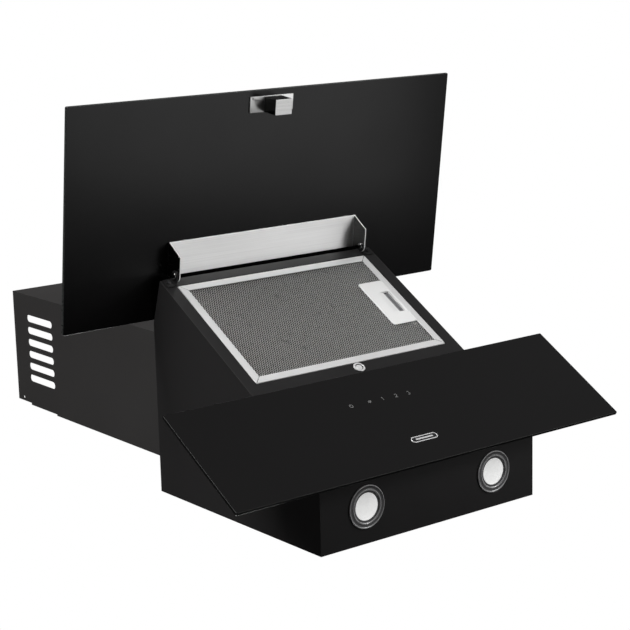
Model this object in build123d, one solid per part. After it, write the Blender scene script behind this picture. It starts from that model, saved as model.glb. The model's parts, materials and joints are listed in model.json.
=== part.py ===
from build123d import *
import math
import os

os.makedirs("parts", exist_ok=True)

# ---------------------------------------------------------------------------
# Angled 600 mm wall-mounted cooker hood with a hinged perimeter-suction glass.
# Millimetres.  Frame: origin at the centre of the four wall-screw holes, on the
# wall plane; +Z up the wall, +X to the right of a person facing the hood, and
# the hood stands out of the wall towards -Y.
# ---------------------------------------------------------------------------

# ---- driving dimensions ----------------------------------------------------
GLASS_W = 600.0          # both glass panels, the hood's nominal width
GLASS_T = 4.0            # tempered glass
BODY_W = 338.5           # steel body
BODY_H = 331.5
BODY_D_LOW = 93.0        # depth at the lamp face
CORNER_U = 313.6         # height where the sloping face ends, above the lamp face
BEVEL_D = 222.0          # depth of the flat top, in front of it the body is bevelled
SHEET = 1.0
REF_H = 190.0            # height of the wall-screw centre above the lamp face
SLOPE = math.degrees(math.atan2(195.0, 331.5))   # sloping face against the wall

HOLE_DX, HOLE_DZ, HOLE_R = 276.0, 180.0, 4.0     # wall-screw pattern

TOUCH_STAND = 7.3        # touch glass front stands this far out of the sloping face, along -Y
TOUCH_U0, TOUCH_U1 = -25.7, 135.1                # touch glass, along the slope

FLAP_H = 282.9           # hinged glass, hinge edge to free edge
FLAP_GAP = 20.8          # inner face above the touch glass plane when shut
FLAP_TOP_U = 417.4       # hinge edge along the slope when shut
FLAP_ANGLE = 112.6       # opening angle
PIVOT_V, PIVOT_O = 61.2, 18.3                    # pivot from hinge edge, from inner face

FILT_X, FILT_U0, FILT_U1 = 151.0, 158.3, 345.7   # filter cassette
FILT_TOP, FILT_T = -6.0, 9.0
FILT_RIM = 10.5

DUCT_R = 75.0            # outlet collar, outside radius
DUCT_Y = -90.0           # collar axis from the wall
COVER_W, COVER_Y0, COVER_Y1, COVER_TOP = 178.0, -3.0, -177.0, 853.0

LAMP_DX, LAMP_Y = 101.0, -45.3

BX, BZ = 38.5, -40.0     # blower axis
# ---------------------------------------------------------------------------

HW = BODY_W / 2
C, S = math.cos(math.radians(SLOPE)), math.sin(math.radians(SLOPE))
TAN = S / C
ZB = -REF_H                       # lamp face
ZT = BODY_H - REF_H               # top of the body
OFF_B = -TOUCH_STAND * C          # body surface, measured from the touch glass plane

written = []


def flat(*shapes):
    out = []
    for s in shapes:
        if isinstance(s, (list, tuple)):
            out += flat(*s)
        else:
            out += list(s.solids())
    return out


def write(name, *shapes):
    solids = flat(*shapes)
    shape = solids[0] if len(solids) == 1 else Compound(children=solids)
    export_step(shape, f"parts/{name}.step")
    written.append(name)


def box(x0, x1, y0, y1, z0, z1):
    return Pos((x0 + x1) / 2, (y0 + y1) / 2, (z0 + z1) / 2) * Box(abs(x1 - x0), abs(y1 - y0), abs(z1 - z0))


def prism(plane, pts, depth):
    """A closed polygon on a plane, extruded along the plane's normal."""
    face = make_face(Polyline(*pts, close=True))
    return extrude(plane * face, depth, dir=tuple(plane.z_dir))


def yz(pts, x0, x1):
    return prism(Plane(origin=(x0, 0, 0), x_dir=(0, 1, 0), z_dir=(1, 0, 0)), pts, x1 - x0)


def xz(pts, y0, y1):
    """Polygon given as (x, z), extruded from y0 to y1 (y1 below y0 is towards the room)."""
    plane = Plane(origin=(0, y0, 0), x_dir=(1, 0, 0), z_dir=(0, -1, 0))
    return prism(plane, pts, y0 - y1)


def cyl_z(x, y, z0, z1, r):
    return Pos(x, y, (z0 + z1) / 2) * Cylinder(r, abs(z1 - z0))


def cyl_y(x, y0, y1, z, r):
    return Pos(x, (y0 + y1) / 2, z) * Rot(90, 0, 0) * Cylinder(r, abs(y1 - y0))


def cyl_x(x0, x1, y, z, r):
    return Pos((x0 + x1) / 2, y, z) * Rot(0, 90, 0) * Cylinder(r, abs(x1 - x0))


def ring_z(x, y, z0, z1, ro, ri):
    return cyl_z(x, y, z0, z1, ro) - cyl_z(x, y, z0 - 1, z1 + 1, ri)


def ring_y(x, y0, y1, z, ro, ri):
    return cyl_y(x, y0, y1, z, ro) - cyl_y(x, y0 + 1, y1 - 1, z, ri)


def revolve_y(pts, x, z):
    """Profile given as (r, y), turned about the line through (x, *, z) along Y."""
    face = make_face(Polyline(*pts, close=True))
    return Pos(x, 0, z) * revolve(face, Axis.Y, 360)


def revolve_z(pts, x, y):
    """Profile given as (r, z), turned about the vertical through (x, y)."""
    face = Plane.XZ * make_face(Polyline(*pts, close=True))
    return Pos(x, y, 0) * revolve(face, Axis.Z, 360)


# The slope's own frame: x along the width, y up the slope, z out of the glass.
INC = Plane(origin=(0, -(BODY_D_LOW + TOUCH_STAND), ZB), x_dir=(1, 0, 0), z_dir=(0, -C, -S)).location


def ibox(x0, x1, u0, u1, o0, o1):
    return INC * box(x0, x1, u0, u1, o0, o1)


def icyl(x, u, o0, o1, r):
    return INC * cyl_z(x, u, o0, o1, r)


# The hinged glass's own frame when shut, then turned about its pivot to the open stop.
PIVOT_U, PIVOT_H = FLAP_TOP_U - PIVOT_V, FLAP_GAP - PIVOT_O
SHUT = INC * Plane(origin=(0, FLAP_TOP_U, FLAP_GAP), x_dir=(1, 0, 0), z_dir=(0, 0, -1)).location
TURN = (INC * Pos(0, PIVOT_U, PIVOT_H) * Rot(-FLAP_ANGLE, 0, 0) * Pos(0, -PIVOT_U, -PIVOT_H) * INC.inverse())
OPEN = TURN * SHUT


def fbox(x0, x1, v0, v1, o0, o1):
    return OPEN * box(x0, x1, v0, v1, o0, o1)


# =========================== steel body =====================================
A_ = (0, ZB)
B_ = (-BODY_D_LOW, ZB)
C_ = (-(BODY_D_LOW + CORNER_U * TAN), CORNER_U - REF_H)
D_ = (-BEVEL_D, ZT)
E_ = (0, ZT)


def on_line(p, q, z):
    k = (z - p[1]) / (q[1] - p[1])
    return (p[0] + k * (q[0] - p[0]), z)


def shift(p, q, t):
    """The line p-q moved t to its right-hand side seen along it (into the body)."""
    dy, dz = q[0] - p[0], q[1] - p[1]
    n = math.hypot(dy, dz)
    ny, nz = dz / n, -dy / n
    return (p[0] + ny * t, p[1] + nz * t), (q[0] + ny * t, q[1] + nz * t)


def cross(p, q, r, s):
    d = (p[0] - q[0]) * (r[1] - s[1]) - (p[1] - q[1]) * (r[0] - s[0])
    a = p[0] * q[1] - p[1] * q[0]
    b = r[0] * s[1] - r[1] * s[0]
    return ((a * (r[0] - s[0]) - (p[0] - q[0]) * b) / d, (a * (r[1] - s[1]) - (p[1] - q[1]) * b) / d)


bc = shift(B_, C_, SHEET)
cd = shift(C_, D_, SHEET)
C_IN = cross(*bc, *cd)
z_lo, z_hi = ZB + SHEET, ZT - SHEET
panel_pts = [on_line(B_, C_, z_lo), C_, on_line(C_, D_, z_hi), on_line(*cd, z_hi), C_IN, on_line(*bc, z_lo)]

# Sides and lamp face are one folded sheet, with flanges at the top for the lid's screws.
side = [A_, B_, C_, D_, E_]
wrap = yz(side, -HW, -HW + SHEET) + yz(side, HW - SHEET, HW)
wrap += yz([A_, B_, on_line(B_, C_, z_lo), (0, z_lo)], -HW, HW)
for sx in (-1, 1):
    wrap += box(sx * (HW - SHEET - 14), sx * (HW - SHEET + 0.2), -205, -14, ZT - 2 * SHEET, ZT - SHEET)
for sx in (-1, 1):
    wrap -= cyl_z(sx * LAMP_DX, LAMP_Y, ZB - 1, ZB + 3, 25.0)
    for y in (-30, -110, -190):
        wrap -= cyl_z(sx * (HW - 8), y, ZT - 4, ZT - 0.5, 1.6)
write("body_wrap", wrap)

back = box(-HW + SHEET, HW - SHEET, -1.2, 0, z_lo, z_hi)
for sx in (-1, 1):
    for sz in (-1, 1):
        back -= cyl_y(sx * HOLE_DX / 2, 1, -3, sz * HOLE_DZ / 2, HOLE_R)
BOSS = [(-25, -95), (100, -95), (-58, 62), (58, 62)]
write("back_plate", back)

top = yz([on_line(C_, D_, z_hi), D_, E_, (0, z_hi)], -HW + SHEET, HW - SHEET)
top -= cyl_z(0, DUCT_Y, ZT - 3, ZT + 3, 73.5)
top -= cyl_z(-75, -22, ZT - 3, ZT + 3, 8.0)
for sx in (-1, 1):
    for y in (-30, -110, -190):
        top -= cyl_z(sx * (HW - 8), y, ZT - 4, ZT + 2, 1.6)
    top -= cyl_z(sx * 81, -160, ZT - 4, ZT + 2, 1.8)
write("top_plate", top)

screws = []
for sx in (-1, 1):
    for y in (-30, -110, -190):
        x = sx * (HW - 8)
        screws.append(cyl_z(x, y, ZT, ZT + 1.6, 3.2) + cyl_z(x, y, ZT - 7, ZT, 1.55))
write("body_screws", screws)

# Sloping front with its bevelled top, the filter well, the sensor window and the catch hole.
WX, WU0, WU1 = 152.0, 157.3, 346.7
WELL = -17.3
front = yz(panel_pts, -HW + SHEET, HW - SHEET)
front -= ibox(-WX, WX, WU0, WU1, -12, 2)
front += ibox(-WX - 1, WX + 1, WU0 - 1, WU1 + 1, WELL, OFF_B - 0.4) - ibox(-WX, WX, WU0, WU1, WELL - 1, 0)
front += ibox(-WX - 1, WX + 1, WU0 - 1, WU1 + 1, WELL, WELL + 1) - ibox(-144, 144, WU0 + 8, WU1 - 8, WELL - 1, WELL + 2)
front -= ibox(-74, 42, 73, 98, -12, 0)
front -= icyl(0, 149, -9, 0, 6.3)
front -= ibox(WX - 0.5, WX + 1.5, 237.5, 260.5, -13.6, -9.2)
for sx in (-1, 1):
    for u in (353.0,):
        front -= icyl(sx * 160.5, u, -9, 0, 1.6)
write("front_panel", front)

# =========================== touch panel ====================================
glass = box(-GLASS_W / 2, GLASS_W / 2, TOUCH_U0, TOUCH_U1, -GLASS_T, 0)
glass = chamfer(glass.edges(), 0.5)
write("touch_glass", INC * glass)

tape = [ibox(-150, 150, 4, 20, OFF_B, -GLASS_T), ibox(-150, 150, 108, 124, OFF_B, -GLASS_T)]
write("glass_tape", tape)

TUB = -18.5
tray = ibox(-80, 48, 69, 102, TUB, OFF_B - SHEET) - ibox(-78, 46, 71, 100, TUB + 1.6, 0)
write("sensor_tray", tray)
board = ibox(-77.5, 45.5, 71.5, 99.5, TUB + 1.6, TUB + 3.2)
board += ibox(-20, 0, 90, 97, TUB + 3.2, TUB + 5.2)
write("sensor_board", board)
KEYS = (-60.8, -31.9, -11.4, 9.6, 29.5)
springs = [icyl(x, 85.6, TUB + 3.2, -GLASS_T, 4.0) - icyl(x, 85.6, TUB + 4.2, -GLASS_T - 1.0, 3.2) for x in KEYS]
write("sensor_springs", springs)

badge = INC * Pos(-1.3, 12.0, 0.2) * extrude(SlotOverall(40.4, 9.2), 0.2, both=True)
write("badge_plate", badge)

# =========================== lamps ==========================================
bez, lens, can, clip = [], [], [], []
for sx in (-1, 1):
    x = sx * LAMP_DX
    bez.append(revolve_z([(17.6, ZB - 1.2), (19.0, ZB - 2.0), (25.4, ZB - 2.0), (27.0, ZB - 0.9), (27.0, ZB),
                          (24.6, ZB), (24.6, ZB + 8), (22.8, ZB + 8), (22.8, ZB + 1.0), (17.6, ZB + 1.0)], x, LAMP_Y))
    lens.append(revolve_z([(0, ZB - 1.0), (12, ZB - 0.9), (17.4, ZB - 0.5), (17.4, ZB + 1.0), (0, ZB + 1.0)], x, LAMP_Y))
    body = cyl_z(x, LAMP_Y, ZB + 1.0, ZB + 7, 22.6) + cyl_z(x, LAMP_Y, ZB + 7, ZB + 24, 18.5)
    for k in range(12):
        body += Pos(x, LAMP_Y, ZB + 15.5) * Rot(0, 0, 30 * k) * Pos(20, 0, 0) * Box(5, 1.6, 17)
    can.append(body)
    for sy in (-1, 1):
        p = [(22.65, 10), (22.65, 20), (23.6, 20), (32.6, 3.4), (32.6, 1.0), (31.6, 1.0), (23.45, 16.6), (23.45, 10)]
        pts = [(LAMP_Y + sy * r, ZB + z) for r, z in p]
        clip.append(yz(pts, x - 4, x + 4))
write("lamp_bezels", bez)
write("lamp_lenses", lens)
write("lamp_heatsinks", can)
write("lamp_clips", clip)

# =========================== blower =========================================
N = 26
R_END, R_CUT, SWEEP = 112.0, 84.0, 245.0
Z_SC = 85.5


def spiral(d):
    pts = []
    for k in range(N + 1):
        a = math.radians(180 + SWEEP * k / N)
        r = R_END - (R_END - R_CUT) * k / N - d
        pts.append((BX + r * math.cos(a), BZ + r * math.sin(a)))
    return pts


outer = [(-73.5, Z_SC)] + spiral(0) + [(73.5, 52.0), (73.5, Z_SC)]
inner = [(-71.5, Z_SC + 3)] + spiral(2) + [(71.5, 52.8), (71.5, Z_SC + 3)]
rear = xz(outer, -15, -60) - xz(inner, -17, -61)
front_s = xz(outer, -60, -105) - xz(inner, -59, -103)
front_s -= cyl_y(BX, -100, -110, BZ, 62.0)
front_s += revolve_y([(62.0, -105), (66.0, -105), (66.0, -107), (64.5, -108.2), (62.0, -107)], BX, BZ)
for x, z in BOSS:
    rear += cyl_y(x, -1.2, -15.5, z, 5.0)
    rear -= cyl_y(x, -0.5, -20, z, 2.0)
write("scroll_rear", rear)
write("scroll_front", front_s)
bs = [cyl_y(x, -1.2, -17, z, 1.9) + cyl_y(x, -17, -19.6, z, 3.6) for x, z in BOSS]
write("blower_screws", bs)

guard = ring_y(BX, -108.2, -110.2, BZ, 65.0, 62.5)
for r in (46.0, 28.0):
    guard += ring_y(BX, -108.2, -110.2, BZ, r + 1.3, r - 1.3)
guard += cyl_y(BX, -108.2, -110.2, BZ, 9.0)
for k in range(6):
    guard += Pos(BX, -109.2, BZ) * Rot(0, 30 + 60 * k, 0) * Pos(36, 0, 0) * Box(56, 2, 2.6)
write("inlet_guard", guard)

# motor, recessed into the impeller's dish
mplate = cyl_y(BX, -17, -19, BZ, 52.0) + ring_y(BX, -19, -25, BZ, 12.0, 9.0)
for k in range(3):
    a = math.radians(90 + 120 * k)
    mplate -= cyl_y(BX + 46.5 * math.cos(a), -15, -21, BZ + 46.5 * math.sin(a), 1.6)
write("motor_plate", mplate)
mcan = revolve_y([(40.5, -19), (42.0, -19), (42.0, -58), (9.0, -58), (9.0, -50), (12.0, -50), (12.0, -56.5),
                  (40.5, -56.5)], BX, BZ)
write("motor_can", mcan)
ms = []
for k in range(3):
    a = math.radians(90 + 120 * k)
    ms.append(cyl_y(BX + 46.5 * math.cos(a), -19, -21, BZ + 46.5 * math.sin(a), 2.6)
              + cyl_y(BX + 46.5 * math.cos(a), -17, -19, BZ + 46.5 * math.sin(a), 1.55))
write("motor_screws", ms)
bear = [ring_y(BX, -19, -25, BZ, 9.0, 4.05), ring_y(BX, -50, -58, BZ, 9.0, 4.05)]
write("motor_bearings", bear)
write("motor_stator", ring_y(BX, -28, -46, BZ, 40.4, 24.6) + ring_y(BX, -26, -48, BZ, 37.0, 27.0))

shaft = cyl_y(BX, -19.4, -88, BZ, 4.0)
write("motor_shaft", shaft)
write("motor_rotor", ring_y(BX, -28, -46, BZ, 24.0, 4.0))
imp = revolve_y([(4.0, -62), (50.0, -62), (50.0, -24), (75.0, -24), (75.0, -26.0), (52.0, -26.0), (52.0, -64),
                 (11.0, -64), (11.0, -80), (4.0, -80)], BX, BZ)
imp += ring_y(BX, -93.5, -95.5, BZ, 75.0, 64.0)
for k in range(28):
    blade = Pos(68.5, 0, 0) * Rot(0, 32, 0) * Box(12.5, 69.5, 1.1)
    imp += Pos(BX, -59.75, BZ) * Rot(0, k * 360 / 28, 0) * blade
write("impeller", imp)
hexn = extrude(Plane(origin=(BX, -80, BZ), x_dir=(1, 0, 0), z_dir=(0, -1, 0)) * RegularPolygon(7.0, 6), 6.0, dir=(0, -1, 0))
write("impeller_nut", hexn - cyl_y(BX, -79, -87, BZ, 4.0))

# =========================== outlet =========================================
Z_AD = 132.0


def duct(hx, y0, y1, r):
    low = Plane(origin=(0, (y0 + y1) / 2, Z_SC), x_dir=(1, 0, 0), z_dir=(0, 0, 1)) * Rectangle(2 * hx, abs(y1 - y0))
    high = Plane(origin=(0, DUCT_Y, Z_AD), x_dir=(1, 0, 0), z_dir=(0, 0, 1)) * Circle(r)
    return loft([low, high])


adapter = duct(73.5, -15, -105, 73.0) - duct(71.5, -17, -103, 71.0)
write("outlet_adapter", adapter)

collar = ring_z(0, DUCT_Y, ZT, ZT + 2, 86.0, 71.0) + ring_z(0, DUCT_Y, ZT + 2, ZT + 46, DUCT_R, 73.0)
collar += ring_z(0, DUCT_Y, Z_AD, ZT, 73.0, 71.0)
collar += ring_z(0, DUCT_Y, ZT + 1, ZT + 9.4, 73.5, 70.2)
Z_PIN = ZT + 10.0
collar -= cyl_x(-80, 80, DUCT_Y, Z_PIN, 1.55)
for k in range(4):
    a = math.radians(45 + 90 * k)
    collar -= cyl_z(80.5 * math.cos(a), DUCT_Y + 80.5 * math.sin(a), ZT - 2, ZT + 4, 1.5)
write("duct_collar", collar)
cs = []
for k in range(4):
    a = math.radians(45 + 90 * k)
    cs.append(cyl_z(80.5 * math.cos(a), DUCT_Y + 80.5 * math.sin(a), ZT, ZT + 2, 1.5)
              + cyl_z(80.5 * math.cos(a), DUCT_Y + 80.5 * math.sin(a), ZT + 2, ZT + 3.6, 3.0))
write("collar_screws", cs)
write("damper_pin", cyl_x(-74.9, 74.9, DUCT_Y, Z_PIN, 1.5))


def damper(sy, spans):
    disc = cyl_z(0, DUCT_Y, Z_PIN - 0.5, Z_PIN + 0.5, 72.0)
    half = disc & box(-80, 80, DUCT_Y + sy * 2.9, DUCT_Y + sy * 80, Z_PIN - 3, Z_PIN + 3)
    out = half
    for a, b in spans:
        out += cyl_x(a, b, DUCT_Y, Z_PIN, 2.6)
        out += box(a, b, DUCT_Y, DUCT_Y + sy * 4, Z_PIN - 0.5, Z_PIN + 0.5)
    return out - cyl_x(-80, 80, DUCT_Y, Z_PIN, 1.56)


write("damper_front", damper(-1, [(-62, -30.4), (0.4, 30)]))
write("damper_rear", damper(1, [(-30, 0), (30.4, 62)]))

# =========================== electrics ======================================
ebox = box(-160, -88, -41.2, -1.2, -72, 68) - box(-158, -90, -42, -3.2, -70, 66)
ebox -= cyl_z(-124, -22, 60, 70, 4.5)
write("control_box", ebox)
write("control_box_lid", box(-161, -87, -43.0, -41.2, -73, 69))
pcb = box(-156, -92, -8.8, -7.2, -68, 58)
pcb += box(-150, -122, -28, -8.8, -60, -28)
pcb += box(-112, -98, -26, -8.8, -58, -36)
pcb += box(-150, -100, -20, -8.8, 34, 46)
pcb += cyl_y(-106, -8.8, -30, 5, 8.0)
pcb += box(-150, -140, -7.2, -3.2, -60, -50) + box(-106, -96, -7.2, -3.2, -60, -50)
write("power_board", pcb)
write("motor_capacitor", cyl_y(150, -1.2, -50, -5, 14.0) + cyl_y(150, -50, -54, -5, 10.0))
write("lamp_driver", box(-150, -90, -21.2, -1.2, -168, -134))
gl = cyl_z(-75, -22, ZT, ZT + 3, 9.6) + cyl_z(-75, -22, ZT + 3, ZT + 10, 8.2) + cyl_z(-75, -22, ZT - 9, ZT, 7.9)
gl -= cyl_z(-75, -22, ZT - 12, ZT + 12, 4.0)
gn = extrude(Plane(origin=(-75, -22, ZT - 6), x_dir=(1, 0, 0), z_dir=(0, 0, 1)) * RegularPolygon(11.0, 6), 5.0, dir=(0, 0, 1))
write("cable_gland", gl, gn - cyl_z(-75, -22, ZT - 8, ZT + 1, 7.9))

# =========================== duct cover =====================================
CW = COVER_W / 2
CT = COVER_TOP - REF_H
cover = box(-CW, CW, COVER_Y1, COVER_Y0, ZT, CT) - box(-CW + SHEET, CW - SHEET, COVER_Y1 + SHEET, 5, ZT - 1, CT + 1)
for sx in (-1, 1):
    cover += box(sx * (CW - 12), sx * (CW - 0.5), COVER_Y0 - SHEET, COVER_Y0, ZT, CT)
    cover += box(sx * (CW - 15), sx * (CW - 0.5), -170, -150, ZT, ZT + SHEET)
    cover -= cyl_z(sx * 81, -160, ZT - 1, ZT + 3, 1.8)
    # six vent slots a side, and the screw hole for a wall bracket
    for k in range(6):
        y = -(141.0 - 18.5 * k)
        slot = extrude(Plane(origin=(sx * (CW + 2), y, 775.5 - REF_H), x_dir=(0, 0, 1), z_dir=(-sx, 0, 0)) * SlotOverall(74.0, 10.6), 5, dir=(-sx, 0, 0))
        cover -= slot
cover -= cyl_x(-CW - 2, CW + 2, -13.5, 836.0 - REF_H, 2.0)
# towards its top end the cover's wall-side edge steps back twice, for the wall bracket
cover -= box(-CW - 1, CW + 1, -5.1, 1, 547.0, CT + 1)
cover -= box(-CW - 1, CW + 1, -8.0, 1, 624.0, CT + 1)
write("duct_cover", cover)
write("cover_screws", [cyl_z(sx * 81, -160, ZT + SHEET, ZT + SHEET + 1.8, 3.5) + cyl_z(sx * 81, -160, ZT - 6, ZT + SHEET, 1.75) for sx in (-1, 1)])

# =========================== hinge ==========================================
ears, pins, wash, hs = [], [], [], []
for sx in (-1, 1):
    ear = ibox(sx * 150.6, sx * 166.0, 345.0, 359.6, OFF_B, OFF_B + 1.5)
    ear += ibox(sx * 150.6, sx * 152.1, 348.4, 359.6, OFF_B, PIVOT_H)
    ear += INC * cyl_x(sx * 150.6, sx * 152.1, PIVOT_U, PIVOT_H, 6.5)
    ear = ear - ibox(sx * 140, sx * 155.0, 300, 347.6, -10, 4)
    ear -= INC * cyl_x(sx * 149, sx * 154, PIVOT_U, PIVOT_H, 2.5)
    ear -= icyl(sx * 160.5, 353.0, -9, 0, 1.6)
    ears.append(ear)
    pins.append(INC * (cyl_x(sx * 147.2, sx * 152.1, PIVOT_U, PIVOT_H, 2.5) + cyl_x(sx * 152.1, sx * 154.0, PIVOT_U, PIVOT_H, 4.2)
                       + cyl_x(sx * 147.2, sx * 148.3, PIVOT_U, PIVOT_H, 3.9)))
    wash.append(OPEN * (cyl_x(sx * 150.0, sx * 150.5, PIVOT_V, PIVOT_O, 5.6) - cyl_x(sx * 149, sx * 152, PIVOT_V, PIVOT_O, 2.56)))
    hs.append(icyl(sx * 160.5, 353.0, OFF_B + 1.5, OFF_B + 3.2, 3.0) + icyl(sx * 160.5, 353.0, OFF_B - 3.5, OFF_B + 1.5, 1.55))
write("hinge_ears", ears)
write("hinge_pins", pins)
write("hinge_washers", wash)
write("hinge_screws", hs)

# =========================== hinged glass ===================================
flap = box(-GLASS_W / 2, GLASS_W / 2, 0, FLAP_H, -GLASS_T, 0)
flap = chamfer(flap.edges(), 0.5)
write("flap_glass", OPEN * flap)
write("bracket_tape", fbox(-146, 146, 55.5, 98, 0, 0.5))
br = box(-150, 150, 56.2, 100, 0.5, 2.0)
cheek = [(56.2, 0.5), (100, 0.5), (86, 26.4), (61.2, 26.4), (56.2, 22.0)]
for sx in (-1, 1):
    p = Plane(origin=(sx * 150 if sx < 0 else 148.5, 0, 0), x_dir=(0, 1, 0), z_dir=(1, 0, 0))
    br += prism(p, cheek, 1.5)
for sx in (-1, 1):
    br += cyl_x(sx * 148.5, sx * 150, PIVOT_V, PIVOT_O, 8.1)
    br -= cyl_x(sx * 147, sx * 151, PIVOT_V, PIVOT_O, 2.56)
write("hinge_bracket", OPEN * br)

# steel catch plate with its striker bar, and the magnet it meets on the body
CATCH_V = FLAP_TOP_U - 149.0
TIP = FLAP_GAP + 4.6
base = box(-35.4, 32.6, CATCH_V - 14.1, CATCH_V + 6.4, 0, 1.6)
write("catch_plate", OPEN * base)
bar = box(-13, 13, CATCH_V - 14.1, CATCH_V + 5.9, 1.6, TIP)
bar = fillet(bar.edges().filter_by(Axis.Z), 0.8)
write("catch_striker", OPEN * bar)
cup = icyl(0, 149, OFF_B, OFF_B + 1.4, 7.8) + icyl(0, 149, OFF_B - 6.5, OFF_B, 6.2)
cup -= icyl(0, 149, OFF_B - 5.0, OFF_B + 3, 5.0)
write("magnet_cup", cup)
write("catch_magnet", icyl(0, 149, OFF_B - 5.0, OFF_B + 1.2, 5.0))

# =========================== grease filter ==================================
FB = FILT_TOP - FILT_T
frame = ibox(-FILT_X, FILT_X, FILT_U0, FILT_U1, FB, FILT_TOP)
frame -= ibox(-FILT_X + 1, FILT_X - 1, FILT_U0 + 1, FILT_U1 - 1, FB + 0.8, FILT_TOP - 0.8)
frame -= ibox(-FILT_X + FILT_RIM, FILT_X - FILT_RIM, FILT_U0 + FILT_RIM, FILT_U1 - FILT_RIM, FB - 1, FILT_TOP + 1)
frame -= ibox(FILT_X - 2, FILT_X + 1, 238.5, 259.5, -13.0, -9.8)
write("filter_frame", frame)
PX0, PX1, PU0, PU1 = 101.7, 140.3, 208.5, 293.0
CUT = ibox(PX0 - 0.4, 150.5, PU0 - 0.4, PU1 + 0.4, FB - 1, FILT_TOP + 1)
mx, m0, m1 = FILT_X - 1.2, FILT_U0 + 1.2, FILT_U1 - 1.2
write("filter_mesh_front", ibox(-mx, mx, m0, m1, FILT_TOP - 1.9, FILT_TOP - 0.9) - CUT)
write("filter_core", ibox(-mx, mx, m0, m1, FB + 3.5, FILT_TOP - 3.5) - CUT)
write("filter_mesh_back", ibox(-mx, mx, m0, m1, FB + 0.9, FB + 1.9) - CUT)

# recessed pull plate, its spring latch and the latch's return spring
plate = ibox(PX0, PX1, PU0, PU1, FB + 0.9, FILT_TOP - 0.1)
plate += ibox(PX0 + 2, FILT_X - 2.2, PU0 + 2, PU1 - 2, FB + 0.9, FILT_TOP - 0.9)
SL0, SL1, SW0, SW1 = 121.0, 137.0, 228.0, 270.0
plate -= ibox(SL0, SL1, SW0, SW1, -13.8, 0)
plate -= ibox(SL0, 156, 238.0, 260.0, -13.8, -9.0)
plate = plate.solids().sort_by(SortBy.VOLUME)[-1]
write("filter_pull_plate", plate)
latch = ibox(127.2, 136.0, 229.0, 269.0, -13.7, -8.9)
latch += ibox(131.6, 134.4, 229.0, 269.0, -8.9, -6.6)
latch += ibox(127.2, 154.6, 239.2, 258.8, -12.6, -10.2)
write("filter_latch", latch)
write("latch_spring", [ibox(121.0, 127.2, u - 1.6, u + 1.6, -12.8, -9.8) for u in (240.0, 258.0)])

# ---------------------------------------------------------------------------


def inc_point(x, u, o):
    p = (INC * Pos(x, u, o)).position
    return tuple(round(v, 4) for v in p)


print("slope", round(SLOPE, 4), "C,S", round(C, 6), round(S, 6), "OFF_B", round(OFF_B, 4))
print("pivot", inc_point(0, PIVOT_U, PIVOT_H), "normal", (0, round(-C, 6), round(-S, 6)))
print("open origin", tuple(round(v, 4) for v in OPEN.position), "nodes", len(written))
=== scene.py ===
import json
import math

import bmesh
import bpy
from mathutils import Matrix, Vector


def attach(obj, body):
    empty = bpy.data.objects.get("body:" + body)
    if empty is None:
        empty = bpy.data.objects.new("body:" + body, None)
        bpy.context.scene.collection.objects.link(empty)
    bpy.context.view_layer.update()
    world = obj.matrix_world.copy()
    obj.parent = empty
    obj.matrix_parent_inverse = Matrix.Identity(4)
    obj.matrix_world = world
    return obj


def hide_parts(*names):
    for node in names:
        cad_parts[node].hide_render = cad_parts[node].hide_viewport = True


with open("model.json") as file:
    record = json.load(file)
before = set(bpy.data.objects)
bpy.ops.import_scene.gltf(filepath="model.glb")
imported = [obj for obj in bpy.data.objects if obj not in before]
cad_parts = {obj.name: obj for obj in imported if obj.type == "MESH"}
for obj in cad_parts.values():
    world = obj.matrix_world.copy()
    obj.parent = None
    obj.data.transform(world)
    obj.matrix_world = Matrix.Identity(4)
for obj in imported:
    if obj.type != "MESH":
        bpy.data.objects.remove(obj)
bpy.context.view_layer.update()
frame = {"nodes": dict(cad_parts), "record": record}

NODES = frame["nodes"]
COLL = bpy.context.scene.collection
BODY_OF = {n: b for b, ns in frame["record"]["behaviour"]["bodies"].items() for n in ns}

# ---------------------------------------------------------------------------
# Local frames.  The slope's: x along the width, u up the slope, o out of the touch
# glass.  The flap's: x, v from hinge edge to free edge, o out of the inner face.
# ---------------------------------------------------------------------------
SL = math.atan2(195.0, 331.5)
C, S = math.cos(SL), math.sin(SL)
U, N = Vector((0, -S, C)), Vector((0, -C, -S))
ORG = Vector((0, -0.1003, -0.190))


def basis(a, b, c, o):
    return Matrix(((a.x, b.x, c.x, o.x), (a.y, b.y, c.y, o.y), (a.z, b.z, c.z, o.z), (0, 0, 0, 1)))


X = Vector((1, 0, 0))
INC = basis(X, U, N, ORG)
OPEN = math.radians(112.6)
DV = -math.cos(OPEN) * U + math.sin(OPEN) * N
NF = -math.sin(OPEN) * U - math.cos(OPEN) * N
PIV = INC @ Vector((0, 0.3562, 0.0025))
FLAP = basis(X, DV, NF, PIV - 0.0612 * DV - 0.0183 * NF)
ROW = Matrix.Identity(4)

# ---------------------------------------------------------------------------
# Materials
# ---------------------------------------------------------------------------


def tree(name):
    m = bpy.data.materials.new(name)
    m.use_nodes = True
    nt = m.node_tree
    return m, nt, nt.nodes["Principled BSDF"]


def coords(nt, scale=(1, 1, 1), rot=(0, 0, 0)):
    tc = nt.nodes.new("ShaderNodeTexCoord")
    mp = nt.nodes.new("ShaderNodeMapping")
    mp.inputs["Scale"].default_value = scale
    mp.inputs["Rotation"].default_value = rot
    nt.links.new(tc.outputs["Object"], mp.inputs["Vector"])
    return mp.outputs["Vector"]


def noise(nt, vec, scale, detail=2.0, rough=0.5):
    n = nt.nodes.new("ShaderNodeTexNoise")
    n.inputs["Scale"].default_value = scale
    n.inputs["Detail"].default_value = detail
    n.inputs["Roughness"].default_value = rough
    nt.links.new(vec, n.inputs["Vector"])
    return n.outputs["Fac"]


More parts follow.
